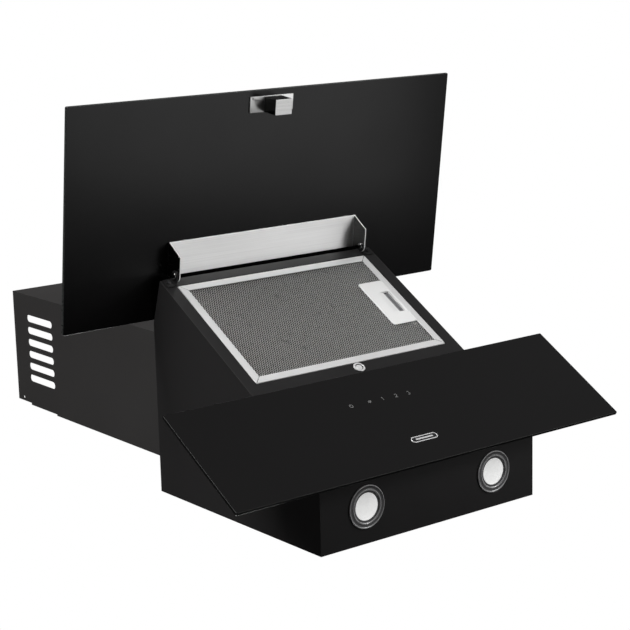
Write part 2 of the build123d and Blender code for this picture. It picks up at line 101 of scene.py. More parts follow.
def span(nt, fac, lo, hi, a=0.3, b=0.7):
    r = nt.nodes.new("ShaderNodeMapRange")
    r.inputs["From Min"].default_value = a
    r.inputs["From Max"].default_value = b
    r.inputs["To Min"].default_value = lo
    r.inputs["To Max"].default_value = hi
    nt.links.new(fac, r.inputs["Value"])
    return r.outputs["Result"]


def tint(nt, fac, c0, c1):
    m = nt.nodes.new("ShaderNodeMix")
    m.data_type = "RGBA"
    m.inputs["A"].default_value = (*c0, 1)
    m.inputs["B"].default_value = (*c1, 1)
    nt.links.new(fac, m.inputs["Factor"])
    return m.outputs["Result"]


def bump(nt, bs, height, strength, dist):
    b = nt.nodes.new("ShaderNodeBump")
    b.inputs["Strength"].default_value = strength
    b.inputs["Distance"].default_value = dist
    nt.links.new(height, b.inputs["Height"])
    nt.links.new(b.outputs["Normal"], bs.inputs["Normal"])
    return b


def plain(name, c0, c1, rough, metal=0.0, rvar=0.05, scale=60, bscale=900, bstr=0.15, bdist=0.00005, spec=0.5):
    """A surface with slow colour drift, uneven roughness and a fine texture."""
    m, nt, bs = tree(name)
    v = coords(nt)
    slow = noise(nt, v, scale, 3)
    fine = noise(nt, v, bscale, 2)
    nt.links.new(tint(nt, slow, c0, c1), bs.inputs["Base Color"])
    nt.links.new(span(nt, slow, rough - rvar, rough + rvar), bs.inputs["Roughness"])
    bs.inputs["Metallic"].default_value = metal
    bs.inputs["Specular IOR Level"].default_value = spec
    bump(nt, bs, fine, bstr, bdist)
    return m


def brushed(name, c0, c1, rough, along=(5, 1400, 1400), aniso=0.6, bstr=0.25):
    """Steel brushed along X."""
    m, nt, bs = tree(name)
    v = coords(nt, along)
    lines = noise(nt, v, 1.0, 4, 0.6)
    slow = noise(nt, coords(nt), 18, 2)
    nt.links.new(tint(nt, span(nt, lines, 0, 1), c0, c1), bs.inputs["Base Color"])
    mix = nt.nodes.new("ShaderNodeMath")
    mix.operation = "ADD"
    nt.links.new(span(nt, lines, rough - 0.06, rough + 0.06), mix.inputs[0])
    nt.links.new(span(nt, slow, -0.03, 0.03), mix.inputs[1])
    nt.links.new(mix.outputs[0], bs.inputs["Roughness"])
    bs.inputs["Metallic"].default_value = 1.0
    bs.inputs["Anisotropic"].default_value = aniso
    bs.inputs["Anisotropic Rotation"].default_value = 0.25
    # the brush lines run along X, and turn with the sheet where it bends
    t = nt.nodes.new("ShaderNodeCombineXYZ")
    t.inputs["X"].default_value = 1.0
    t.inputs["Y"].default_value = 0.02
    t.inputs["Z"].default_value = -0.12
    nt.links.new(t.outputs["Vector"], bs.inputs["Tangent"])
    bump(nt, bs, lines, bstr, 0.00002)
    return m


def glass_face(name):
    """Black enamelled tempered glass, seen through its polished face."""
    m, nt, bs = tree(name)
    v = coords(nt)
    haze = noise(nt, v, 7, 3)
    fine = noise(nt, v, 260, 3)
    nt.links.new(tint(nt, haze, (0.0016, 0.0015, 0.0016), (0.0026, 0.0024, 0.0025)), bs.inputs["Base Color"])
    nt.links.new(span(nt, fine, 0.02, 0.06), bs.inputs["Roughness"])
    bs.inputs["IOR"].default_value = 1.50
    bump(nt, bs, haze, 0.02, 0.0004)
    return m


M = {}
M["black_sheet"] = plain("m_black_coat", (0.0205, 0.0197, 0.0200), (0.0233, 0.0224, 0.0227), 0.42, spec=0.22, rvar=0.04, scale=12, bscale=1500, bstr=0.10, bdist=0.00004)
# painted shade: a darker copy of the black coat, for the front panel and the hinge ears
M["black_coat_painted_shade"] = plain("m_black_coat_painted_shade", (0.0120, 0.0116, 0.0118), (0.0140, 0.0136, 0.0138), 0.42, spec=0.22, rvar=0.04, scale=12, bscale=1500, bstr=0.10, bdist=0.00004)
# painted light: a lighter copy of the black coat, for the duct cover
M["black_coat_painted_light"] = plain("m_black_coat_painted_light", (0.0365, 0.0350, 0.0346), (0.0410, 0.0393, 0.0389), 0.42, rvar=0.04, scale=9, bscale=1500, bstr=0.10, bdist=0.00004)
M["sheet_edge"] = plain("m_coat_edge", (0.03, 0.03, 0.03), (0.05, 0.05, 0.05), 0.35)
M["back_steel"] = plain("m_galvanised", (0.50, 0.51, 0.52), (0.57, 0.58, 0.59), 0.40, metal=0.45, rvar=0.06, scale=90, bscale=300, bstr=0.06)
M["black_glass"] = glass_face("m_black_glass")
M["glass_back"] = plain("m_glass_enamel", (0.0020, 0.0020, 0.0021), (0.0028, 0.0028, 0.0029), 0.24, spec=0.40, rvar=0.02, scale=9, bscale=1300, bstr=0.04, bdist=0.00002)
M["glass_edge"] = plain("m_glass_edge", (0.026, 0.028, 0.027), (0.036, 0.038, 0.037), 0.30, spec=0.35, rvar=0.06, scale=300, bscale=2500, bstr=0.12)
# painted shade: a darker, duller copy of the polished glass edge, on the touch glass's rim
M["glass_edge_painted_shade"] = plain("m_glass_edge_painted_shade", (0.004, 0.004, 0.004), (0.008, 0.008, 0.008), 0.36, spec=0.15, rvar=0.06, scale=300, bscale=2500, bstr=0.12)
M["brushed"] = brushed("m_brushed_steel", (0.86, 0.86, 0.855), (0.97, 0.97, 0.965), 0.40, aniso=0.8)
# painted shade: a much darker copy of the brushed steel, for the bracket's and striker's side faces and roundings
M["brushed_painted_shade"] = brushed("m_brushed_painted_shade", (0.11, 0.11, 0.108), (0.15, 0.15, 0.148), 0.20, along=(1400, 300, 5), aniso=0.2, bstr=0.1)
M["brushed_catch"] = brushed("m_brushed_catch", (0.60, 0.60, 0.595), (0.72, 0.72, 0.715), 0.34, aniso=0.7)
M["zinc"] = plain("m_zinc", (0.60, 0.61, 0.63), (0.74, 0.74, 0.72), 0.28, metal=1.0, scale=160)
M["satin"] = plain("m_satin_plate", (0.66, 0.66, 0.66), (0.74, 0.74, 0.74), 0.32, metal=0.4, rvar=0.04, scale=220)
M["black_screw"] = plain("m_black_zinc", (0.030, 0.030, 0.032), (0.050, 0.050, 0.052), 0.35, metal=0.8, scale=200)
M["bright"] = plain("m_bright_plate", (0.80, 0.80, 0.80), (0.88, 0.88, 0.88), 0.16, metal=1.0, rvar=0.04, scale=220)
M["filter_alu"] = plain("m_filter_aluminium", (0.62, 0.62, 0.62), (0.70, 0.70, 0.695), 0.40, metal=0.3, rvar=0.05, scale=25, bscale=1800, bstr=0.12)
M["mesh_alu"] = plain("m_mesh_aluminium", (0.88, 0.88, 0.87), (0.96, 0.96, 0.95), 0.34, metal=0.12, rvar=0.08, scale=120, bscale=2600, bstr=0.2)
# painted shade: a near-black copy of the mesh aluminium, for the filter's inner layers
M["mesh_deep"] = plain("m_mesh_deep", (0.03, 0.03, 0.029), (0.05, 0.05, 0.049), 0.5, metal=0.85, rvar=0.08, scale=120, bscale=2600, bstr=0.2)
M["white_plastic"] = plain("m_white_plastic", (0.64, 0.64, 0.635), (0.68, 0.68, 0.675), 0.42, rvar=0.03, scale=40, bscale=2200, bstr=0.08)
M["latch_plastic"] = plain("m_latch_plastic", (0.15, 0.15, 0.155), (0.19, 0.19, 0.195), 0.45, rvar=0.04, scale=60, bscale=2200, bstr=0.1)
M["black_plastic"] = plain("m_black_plastic", (0.012, 0.012, 0.013), (0.020, 0.020, 0.021), 0.48, scale=30, bscale=1200, bstr=0.2)
M["grey_plastic"] = plain("m_grey_plastic", (0.38, 0.39, 0.40), (0.46, 0.47, 0.48), 0.45, scale=30, bscale=1200, bstr=0.15)
M["lamp_ring"] = plain("m_lamp_ring", (0.50, 0.50, 0.505), (0.58, 0.58, 0.585), 0.30, metal=0.35, rvar=0.04, scale=300)
M["lamp_band"] = plain("m_lamp_band", (0.10, 0.10, 0.102), (0.13, 0.13, 0.132), 0.40, metal=0.2, rvar=0.05, scale=300)
M["heatsink"] = plain("m_heatsink", (0.34, 0.34, 0.35), (0.46, 0.46, 0.47), 0.45, metal=0.9, scale=90)
M["foam"] = plain("m_foam_tape", (0.020, 0.020, 0.020), (0.035, 0.035, 0.035), 0.85, scale=200, bscale=1600, bstr=0.6)
M["pcb"] = plain("m_circuit_board", (0.012, 0.085, 0.035), (0.020, 0.12, 0.05), 0.35, scale=140, bscale=500, bstr=0.2)
M["motor_steel"] = plain("m_motor_steel", (0.30, 0.30, 0.31), (0.42, 0.42, 0.43), 0.38, metal=0.95, scale=80)
M["print"] = plain("m_key_print", (0.17, 0.17, 0.17), (0.21, 0.21, 0.21), 0.5, scale=400)
M["badge_field"] = plain("m_badge_field", (0.010, 0.010, 0.011), (0.016, 0.016, 0.017), 0.3, scale=300)


def lens_material():
    m, nt, bs = tree("m_lens_painted_glow")
    v = coords(nt)
    cell = nt.nodes.new("ShaderNodeTexVoronoi")
    cell.inputs["Scale"].default_value = 900
    nt.links.new(v, cell.inputs["Vector"])
    nt.links.new(tint(nt, noise(nt, v, 300, 2), (0.84, 0.85, 0.845), (0.92, 0.925, 0.92)), bs.inputs["Base Color"])
    nt.links.new(span(nt, cell.outputs["Distance"], 0.22, 0.42, 0.0, 0.6), bs.inputs["Roughness"])
    # painted light: each lens glows, more at the middle of each cell and more towards the wall, standing in for light
    # falling on it
    sep = nt.nodes.new("ShaderNodeSeparateXYZ")
    nt.links.new(v, sep.inputs["Vector"])
    painted_glow = nt.nodes.new("ShaderNodeMath")
    painted_glow.operation = "MULTIPLY"
    nt.links.new(span(nt, cell.outputs["Distance"], 0.54, 0.36, 0.0, 0.7), painted_glow.inputs[0])
    nt.links.new(span(nt, sep.outputs["Y"], 0.78, 1.35, -0.062, -0.029), painted_glow.inputs[1])
    nt.links.new(painted_glow.outputs[0], bs.inputs["Emission Strength"])
    bs.inputs["Emission Color"].default_value = (1, 1, 0.99, 1)
    bump(nt, bs, cell.outputs["Distance"], 0.5, 0.0002)
    return m


M["lens"] = lens_material()

# ---------------------------------------------------------------------------
# Mesh helpers.  Local sizes are in millimetres.
# ---------------------------------------------------------------------------
KEEP = Matrix.Scale(0.001, 4)


def bake(ob):
    """Makes the modifiers' result the object's own mesh."""
    dg = bpy.context.evaluated_depsgraph_get()
    me = bpy.data.meshes.new_from_object(ob.evaluated_get(dg), preserve_all_data_layers=True, depsgraph=dg)
    me.name = ob.name
    ob.modifiers.clear()
    ob.data = me


def level(ob):
    """Keeps broad flat faces flat where they meet a small rounding."""
    wn = ob.modifiers.new("flat", "WEIGHTED_NORMAL")
    wn.mode = "FACE_AREA"
    wn.weight = 100
    wn.keep_sharp = True


def piece(name, bm, mats, body, rep=(), at=ROW, angle=32, fix=True, flat=True):
    bmesh.ops.transform(bm, matrix=at @ KEEP, verts=bm.verts)
    if fix:
        bmesh.ops.recalc_face_normals(bm, faces=bm.faces)
    me = bpy.data.meshes.new(name)
    bm.to_mesh(me)
    bm.free()
    for m in mats:
        me.materials.append(M[m])
    ob = bpy.data.objects.new(name, me)
    COLL.objects.link(ob)
    me.shade_smooth()
    me.set_sharp_from_angle(angle=math.radians(angle))
    if flat:
        level(ob)
        bake(ob)
    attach(ob, body)
    if rep:
        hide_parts(*rep)
    return ob


def refine(node, mat, width=0.3, seg=2, name=None, angle=30, shade_mat=None, edges_too=False):
    """The same shape as a CAD node, with its sharp edges rounded over."""
    bm = bmesh.new()
    bm.from_mesh(NODES[node].data)
    bmesh.ops.remove_doubles(bm, verts=bm.verts, dist=2e-6)
    bmesh.ops.dissolve_limit(bm, angle_limit=math.radians(0.6), verts=bm.verts, edges=bm.edges)
    me = bpy.data.meshes.new(name or node + "_fine")
    bm.to_mesh(me)
    bm.free()
    me.materials.clear()
    me.materials.append(M[mat])
    ob = bpy.data.objects.new(name or node + "_fine", me)
    COLL.objects.link(ob)
    me.shade_smooth()
    me.set_sharp_from_angle(angle=math.radians(angle))
    b = ob.modifiers.new("round", "BEVEL")
    b.width = width * 0.001
    b.segments = seg
    b.limit_method = "ANGLE"
    b.angle_limit = math.radians(angle)
    b.use_clamp_overlap = True
    b.miter_outer = "MITER_ARC"
    level(ob)
    bake(ob)
    # rounding never reaches past the CAD shape
    lo = [min(v.co[i] for v in NODES[node].data.vertices) for i in range(3)]
    hi = [max(v.co[i] for v in NODES[node].data.vertices) for i in range(3)]
    for v in ob.data.vertices:
        v.co = [min(hi[i], max(lo[i], v.co[i])) for i in range(3)]
    # painted shade: the darker steel goes on faces turned to the side or towards the free edge, or, with edges_too, on
    # every face but the one facing NF
    if shade_mat:
        ob.data.materials.append(M[shade_mat])
        for p in ob.data.polygons:
            if (p.normal.dot(NF) < 0.9) if edges_too else (abs(p.normal.x) > 0.9 or abs(p.normal.dot(DV)) > 0.9):
                p.material_index = 1
    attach(ob, BODY_OF[node])
    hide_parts(node)
    return ob


def rounded(x0, x1, y0, y1, r, inset=0.0, n=6):
    """Counter-clockwise outline of a rounded rectangle."""
    x0, x1, y0, y1, r = x0 + inset, x1 - inset, y0 + inset, y1 - inset, max(r - inset, 0.02)
    pts = []
    for cx, cy, a0 in ((x1 - r, y1 - r, 0), (x0 + r, y1 - r, 90), (x0 + r, y0 + r, 180), (x1 - r, y0 + r, 270)):
        for k in range(n + 1):
            a = math.radians(a0 + 90.0 * k / n)
            pts.append((cx + r * math.cos(a), cy + r * math.sin(a)))
    return pts


def stack(bm, loops, cap_mat=(0, 0), side_mat=0):
    """Joins outlines of equal length, given as lists of points, into one closed body."""
    rings = [[bm.verts.new(p) for p in loop] for loop in loops]
    n = len(rings[0])
    for a, b in zip(rings, rings[1:]):
        for i in range(n):
            f = bm.faces.new((a[i], a[(i + 1) % n], b[(i + 1) % n], b[i]))
            f.material_index = side_mat
    f = bm.faces.new(list(reversed(rings[0])))
    f.material_index = cap_mat[0]
    f = bm.faces.new(rings[-1])
    f.material_index = cap_mat[1]
    return rings


def slab(bm, x0, x1, y0, y1, z0, z1, rc, re, cap_mat=(0, 0), side_mat=0, seg=4, n=6):
    loops = []
    for z, sgn in ((z0, 1), (z1, -1)):
        arc = []
        for k in range(seg + 1):
            a = math.radians(90.0 * k / seg)
            arc.append((re * (1 - math.sin(a)), z + sgn * re * (1 - math.cos(a))))
        if sgn < 0:
            arc.reverse()
        for inset, zz in arc:
            loops.append([(x, y, zz) for x, y in rounded(x0, x1, y0, y1, rc, inset, n)])
    stack(bm, loops, cap_mat, side_mat)


def lathe(bm, prof, n=64, at=ROW, mats=None):
    """Turns (r, z) points about local Z.  The profile runs from pole to pole, or is closed if it never meets the axis."""
    closed = prof[0][0] > 1e-6 or prof[-1][0] > 1e-6
    rings = []
    for r, z in prof:
        if r <= 1e-6:
            rings.append([bm.verts.new(at @ Vector((0, 0, z)))])
        else:
            rings.append([bm.verts.new(at @ Vector((r * math.cos(2 * math.pi * k / n), r * math.sin(2 * math.pi * k / n), z))) for k in range(n)])
    pairs = list(zip(rings, rings[1:])) + ([(rings[-1], rings[0])] if closed else [])
    for j, (a, b) in enumerate(pairs):
        for k in range(n):
            k2 = (k + 1) % n
            vs = [a[k % len(a)], a[k2 % len(a)], b[k2 % len(b)], b[k % len(b)]]
            out = []
            for v in vs:
                if v not in out:
                    out.append(v)
            if len(out) > 2:
                f = bm.faces.new(out)
                if mats:
                    f.material_index = mats[j]


def turned(p, axis):
    """A frame in millimetres at p with its Z along axis."""
    z = Vector(axis).normalized()
    x = Vector((0, 0, 1)).cross(z) if abs(z.z) < 0.9 else Vector((1, 0, 0))
    x = x.normalized()
    y = z.cross(x)
    return basis(x, y, z, Vector(p))


SLOT = {s["node"]: s["material_slot"] for s in frame["record"]["subparts"]}

# Every CAD node first gets the material of its slot; the filter's back mesh instead gets the near-black mesh, painted
# shade.
for n, ob in NODES.items():
    ob.data.materials.clear()
    ob.data.materials.append(M["mesh_deep" if n == "filter_mesh_back" else SLOT[n]])
    ob.data.shade_smooth()
    ob.data.set_sharp_from_angle(angle=math.radians(30))

# ---------------------------------------------------------------------------
# Sheet-metal body
# ---------------------------------------------------------------------------
refine("body_wrap", "black_sheet", 0.35)
refine("front_panel", "black_coat_painted_shade", 0.3)
refine("top_plate", "black_sheet", 0.3)
refine("duct_cover", "black_coat_painted_light", 0.35)
refine("hinge_ears", "black_coat_painted_shade", 0.25)
refine("back_plate", "back_steel", 0.25)

# ---------------------------------------------------------------------------
# Glasses
# ---------------------------------------------------------------------------
bm = bmesh.new()
slab(bm, -300, 300, -25.7, 135.1, -4.0, 0.0, 2.0, 0.75, cap_mat=(2, 0), side_mat=1)
piece("touch_glass_panel", bm, ["black_glass", "glass_edge_painted_shade", "glass_back"], "hood", ["touch_glass"], INC)
bm = bmesh.new()
slab(bm, -300, 300, 0.0, 282.9, -4.0, 0.0, 2.0, 0.75, cap_mat=(0, 2), side_mat=1)
piece("flap_glass_panel", bm, ["black_glass", "glass_edge", "glass_back"], "flap", ["flap_glass"], FLAP)

# Printed key marks, a film on the glass
GH = 5.4


def stroke(bm, pts, w, z0=0.0, z1=0.06, closed=False):
    """A flat band of width w along a line, mitred at its corners."""
    n = len(pts)
    left, right = [], []
    for i, p in enumerate(pts):
        p = Vector(p)
        a = Vector(pts[i - 1]) if i > 0 or closed else None
        b = Vector(pts[(i + 1) % n]) if i < n - 1 or closed else None
        d1 = (p - a).normalized() if a is not None else None
        d2 = (b - p).normalized() if b is not None else None
        d = (d1 + d2).normalized() if d1 and d2 else (d1 or d2)
        k = 1.0 / max(0.5, d.dot(d2 or d1))
        s = Vector((-d.y, d.x)) * (w / 2) * k
        left.append(p + s)
        right.append(p - s)
    tops = [[bm.verts.new((q.x, q.y, z)) for q in side] for side in (left, right) for z in (z1, z0)]
    lt, lb, rt, rb = tops
    m = n if closed else n - 1
    for i in range(m):
        j = (i + 1) % n
        bm.faces.new((lt[i], rt[i], rt[j], lt[j]))
        bm.faces.new((lb[j], rb[j], rb[i], lb[i]))
        bm.faces.new((lb[i], lt[i], lt[j], lb[j]))
        bm.faces.new((rt[i], rb[i], rb[j], rt[j]))
    if not closed:
        bm.faces.new((lt[0], lb[0], rb[0], rt[0]))
        bm.faces.new((lt[-1], rt[-1], rb[-1], lb[-1]))


def arc(cx, cy, r, a0, a1, n=14):
    return [(cx + r * math.cos(math.radians(a0 + (a1 - a0) * k / n)), cy + r * math.sin(math.radians(a0 + (a1 - a0) * k / n))) for k in range(n + 1)]


bm = bmesh.new()
W = 0.62
UC = 85.6
x = -60.8
stroke(bm, arc(x, UC - 0.2, 2.3, 122, 418, 22), W)
stroke(bm, [(x, UC + 0.5), (x, UC + 3.0)], W)
x = -31.9
stroke(bm, arc(x, UC, 1.25, 0, 337.5, 15), W, closed=True)
for k in range(6):
    a = math.radians(60 * k + 30)
    stroke(bm, [(x + 1.95 * math.cos(a), UC + 1.95 * math.sin(a)), (x + 2.75 * math.cos(a), UC + 2.75 * math.sin(a))], W * 0.85)
x = -11.4
stroke(bm, [(x - 1.0, UC + 1.5), (x + 0.2, UC + GH / 2), (x + 0.2, UC - GH / 2)], W)
x = 9.6
stroke(bm, arc(x, UC + 1.1, 1.55, 165, -35, 12) + [(x - 1.7, UC - GH / 2 + 0.3), (x + 1.75, UC - GH / 2 + 0.3)], W)
x = 29.5
stroke(bm, arc(x, UC + 1.35, 1.3, 150, -80, 12), W)
stroke(bm, arc(x, UC - 1.25, 1.45, 80, -150, 12), W)
piece("key_marks", bm, ["print"], "hood", (), INC)

# Blank badge: a raised rim round an enamelled field with one plain bar
bm = bmesh.new()
BX0, BX1, BU0, BU1 = -1.3 - 20.2, -1.3 + 20.2, 12.0 - 4.6, 12.0 + 4.6
loops = []
for inset, z in ((0.15, 0.0), (0.0, 0.08), (0.0, 0.26), (0.18, 0.40), (1.05, 0.40), (1.2, 0.30)):
    loops.append([(px, py, z) for px, py in rounded(BX0, BX1, BU0, BU1, 4.6, inset, 12)])
stack(bm, loops, cap_mat=(0, 1))
piece("badge_blank", bm, ["satin", "badge_field"], "hood", ["badge_plate"], INC)
bm = bmesh.new()
slab(bm, -1.3 - 13.5, -1.3 + 13.5, 12.0 - 1.15, 12.0 + 1.15, 0.28, 0.39, 1.1, 0.05, seg=2, n=6)
piece("badge_bar", bm, ["satin"], "hood", (), INC)

# ---------------------------------------------------------------------------
# Lamps
# ---------------------------------------------------------------------------
for side, sx in (("left", -1), ("right", 1)):
    at = basis(Vector((1, 0, 0)), Vector((0, -1, 0)), Vector((0, 0, -1)), Vector((sx * 101.0, -45.3, -190.0)))
    bm = bmesh.new()
    # (r, height below the lamp face): recess floor, inner lip, band, outer lip, shell
    prof = [(16.7, -1.0), (16.7, 0.35), (17.2, 0.45), (18.9, 0.5), (19.3, 0.9), (19.6, 1.6), (20.1, 1.95), (20.9, 1.95), (21.4, 1.6), (21.7, 1.2),
            (22.4, 1.1), (24.2, 1.2), (24.6, 1.4), (24.9, 1.8), (25.4, 1.98), (26.0, 1.85), (26.4, 1.3), (26.5, 0.6), (26.3, 0.0), (24.6, 0.0), (24.6, -8.0), (22.8, -8.0), (22.8, -1.0)]
    mats = [0] * len(prof)
    for k in (0, 1, 2, 3, 9, 10, 11):
        mats[k] = 1
    lathe(bm, prof, 96, at, mats)
    piece(f"lamp_ring_{side}", bm, ["lamp_ring", "lamp_band"], "hood", ["lamp_bezels"] if sx < 0 else ())
    bm = bmesh.new()
    prof = [(0, 0.95)]
    for k in range(1, 23):
        r = 16.55 * k / 22
        prof.append((r, 0.95 - 0.45 * (r / 16.55) ** 2 + (0.10 if k % 2 else 0.0)))
    prof += [(16.65, 0.3), (16.65, -1.0), (0, -1.0)]
    lathe(bm, prof, 72, at)
    piece(f"lamp_lens_{side}", bm, ["lens"], "hood", ["lamp_lenses"] if sx < 0 else (), angle=60)

# ---------------------------------------------------------------------------
# Hinge
# ---------------------------------------------------------------------------
refine("hinge_bracket", "brushed", 0.35, 3, shade_mat="brushed_painted_shade")
refine("hinge_pins", "bright", 0.35, 3)
refine("hinge_washers", "white_plastic", 0.08)

# catch plate with its small plating hole, and the striker bar
VC = 417.4 - 149.0
bm = bmesh.new()
slab(bm, -35.4, 32.6, VC - 14.1, VC + 6.4, 0.0, 1.6, 0.6, 0.18, seg=3, n=4)
ob = piece("catch_plate_fine", bm, ["brushed_catch"], "flap", ["catch_plate"], FLAP)
bm = bmesh.new()
lathe(bm, [(0, -1.0), (1.15, -1.0), (1.15, 3.0), (0, 3.0)], 24, Matrix.Translation((-31.2, VC + 3.7, 0)))
bmesh.ops.transform(bm, matrix=FLAP @ KEEP, verts=bm.verts)
bmesh.ops.recalc_face_normals(bm, faces=bm.faces)
me = bpy.data.meshes.new("cutter")
bm.to_mesh(me)
bm.free()
cutter = bpy.data.objects.new("cutter", me)
COLL.objects.link(cutter)
cut = ob.modifiers.new("hole", "BOOLEAN")
cut.operation = "DIFFERENCE"
cut.solver = "EXACT"
cut.object = cutter
bake(ob)
bpy.data.objects.remove(cutter)
refine("catch_striker", "brushed_catch", 0.25, 3, shade_mat="brushed_painted_shade", edges_too=True)

bm = bmesh.new()
OB = -7.3 * C
lathe(bm, [(5.15, OB - 5.0), (5.15, OB + 1.1), (5.3, OB + 1.3), (5.7, OB + 1.4), (6.9, OB + 1.4), (7.5, OB + 1.2), (7.8, OB + 0.75), (7.8, OB), (6.2, OB), (6.2, OB - 6.5), (4.0, OB - 6.5), (4.0, OB - 5.0)], 64, Matrix.Translation((0, 149.0, 0)), [1] + [0] * 11)
piece("magnet_cup_fine", bm, ["satin", "black_plastic"], "hood", ["magnet_cup"], INC)
bm = bmesh.new()
lathe(bm, [(0, OB - 5.0), (4.98, OB - 5.0), (4.98, OB - 1.2), (4.3, OB - 1.0), (4.25, OB + 0.5), (4.0, OB + 0.72), (3.2, OB + 0.78), (1.6, OB + 0.55), (0, OB + 0.42)], 48, Matrix.Translation((0, 149.0, 0)), [0, 1, 1, 1, 0, 0, 0, 0])
piece("catch_magnet_fine", bm, ["filter_alu", "black_plastic"], "hood", ["catch_magnet"], INC)

# ---------------------------------------------------------------------------
# Grease filter
# ---------------------------------------------------------------------------
FX, FU0, FU1 = 151.0, 158.3, 345.7
FT, FBOT, RIM = -6.0, -15.0, 10.5
# cross-section of one rail: (w in from the outer face, o)
RAIL = [(1.1, FBOT), (0.45, FBOT + 0.15), (0.1, FBOT + 0.5), (0.0, FBOT + 1.1), (0.0, FT - 1.3), (0.12, FT - 0.65), (0.5, FT - 0.2), (1.2, FT),
        (9.2, FT), (9.9, FT - 0.06), (10.35, FT - 0.3), (10.5, FT - 0.65), (10.35, FT - 1.0), (9.9, FT - 1.25), (9.2, FT - 1.3),
        (1.3, FT - 1.3), (1.3, FBOT + 1.3), (9.2, FBOT + 1.3), (9.9, FBOT + 1.2), (10.4, FBOT + 0.9), (10.4, FBOT + 0.4), (9.9, FBOT + 0.05), (9.2, FBOT)]
CORN = [(-1, -1), (1, -1), (1, 1), (-1, 1)]
GAP = 0.5


def corner_point(c, w):
    sx, su = c
    x = sx * (FX - w)
    u = (FU0 + w) if su < 0 else (FU1 - w)
    return x, u


bm = bmesh.new()
for k in range(4):
    a, b = CORN[k], CORN[(k + 1) % 4]
    ends = []
    for c, sgn in ((a, 1), (b, -1)):
        ring = []
        for w, o in RAIL:
            x, u = corner_point(c, w)
            # step back from the mitre, along the rail
            if a[1] == b[1]:
                x += sgn * GAP * (b[0] - a[0]) / 2
            else:
                u += sgn * GAP * (b[1] - a[1]) / 2
            ring.append(bm.verts.new((x, u, o)))
        ends.append(ring)
    m = len(RAIL)
    for i in range(m):
        j = (i + 1) % m
        bm.faces.new((ends[0][i], ends[0][j], ends[1][j], ends[1][i]))
    bm.faces.new(ends[0])
    bm.faces.new(list(reversed(ends[1])))
piece("filter_frame_fine", bm, ["filter_alu"], "filter", ["filter_frame"], INC)

# Expanded mesh: a rhombic lattice of strands, each tipped a little, as the press leaves them
PA, PB = 3.29, 6.83
PX0, PX1, PU0, PU1 = 101.7, 140.3, 208.5, 293.0


def expanded(bm, o, dx, du, thick=0.42, tip=0.30, open_part=0.87):
    hx, mx, mu, hu = PA / 2 * open_part, PA / 4 * open_part * 1.04, PB / 4 * open_part * 1.04, PB / 2 * open_part
    grid = {}

    def vert(i4, j4, z):
        """Lattice points on quarter steps, shared by neighbouring cells."""
        key = (i4, j4, z)
        if key not in grid:
            grid[key] = bm.verts.new((i4 * PA / 4 + dx, j4 * PB / 4 + du, o - (thick if z else 0.0)))
        return grid[key]

    ring_out = [(2, 0), (1, 1), (0, 2), (-1, 1), (-2, 0), (-1, -1), (0, -2), (1, -1)]
    ring_in = [(hx, 0), (mx, mu), (0, hu), (-mx, mu), (-hx, 0), (-mx, -mu), (0, -hu), (mx, -mu)]
    for p in range(-110, 111):
        for q in range(-60, 160):
            if (p + q) % 2:
                continue
            cx, cu = p * PA / 2 + dx, q * PB / 2 + du
            if abs(cx) > FX - RIM + 1.6 or not FU0 + RIM - 2.6 < cu < FU1 - RIM + 2.6:
                continue
            if cx > PX0 + 1.0 and PU0 + 1.0 < cu < PU1 - 1.0:
                continue
            tops, bots = [], []
            for k in range(8):
                a, b = ring_in[k]
                z = o + tip * a / hx
                tops.append(bm.verts.new((cx + a, cu + b, z)))
                bots.append(bm.verts.new((cx + a, cu + b, z - thick)))
            for k in range(8):
                k2 = (k + 1) % 8
                (i1, j1), (i2, j2) = ring_out[k], ring_out[k2]
                a1, a2 = vert(2 * p + i1, 2 * q + j1, 0), vert(2 * p + i2, 2 * q + j2, 0)
                b1, b2 = vert(2 * p + i1, 2 * q + j1, 1), vert(2 * p + i2, 2 * q + j2, 1)
                bm.faces.new((tops[k], a1, a2, tops[k2]))
                bm.faces.new((bots[k2], b2, b1, bots[k]))
                bm.faces.new((tops[k2], bots[k2], bots[k], tops[k]))
    # close the outer border
    for e in [e for e in bm.edges if e.is_boundary]:
        if all(abs(v.co.z - o) < 1e-4 for v in e.verts):
            f = e.link_faces[0]
            low = []
            for v in e.verts:
                i4, j4 = round((v.co.x - dx) * 4 / PA), round((v.co.y - du) * 4 / PB)
                low.append(vert(i4, j4, 1))
            try:
                bm.faces.new((e.verts[0], e.verts[1], low[1], low[0]))
            except ValueError:
                pass


bm = bmesh.new()
expanded(bm, -8.3, 0.0, 0.0)
piece("filter_mesh_front_fine", bm, ["mesh_alu"], "filter", ["filter_mesh_front"], INC, angle=50, flat=False)
# the core layer below is drawn in the near-black painted-shade mesh
bm = bmesh.new()
expanded(bm, -10.9, 1.2, 1.9)
piece("filter_core_fine", bm, ["mesh_deep"], "filter", ["filter_core"], INC, angle=50, flat=False)

# Pull plate: a moulded plate with a shallow finger ramp and the latch's slot
SX0, SX1, SU0, SU1 = 129.3, 137.3, 230.6, 269.8
RX0, RU0, RU1 = 117.5, 229.6, 271.0


def smooth(t):
    t = min(1.0, max(0.0, t))
    return t * t * (3 - 2 * t)


def plate_top(x, u):
    """Height of the plate's face."""
    o = -6.1
    # rounded outer lip
    ex = min(x - PX0, PU1 - u, u - PU0)
    o -= 0.55 * (1 - smooth(ex / 0.9)) if ex < 0.9 else 0.0
    # finger ramp
    side = smooth((u - RU0) / 1.6) * smooth((RU1 - u) / 1.6)
    o -= 1.9 * smooth((x - RX0) / (SX0 - RX0)) * side * (1 if x <= SX1 else smooth(1 - (x - SX1) / 0.8))
    return o


def steps(a, b, n):
    return [a + (b - a) * k / n for k in range(n + 1)]


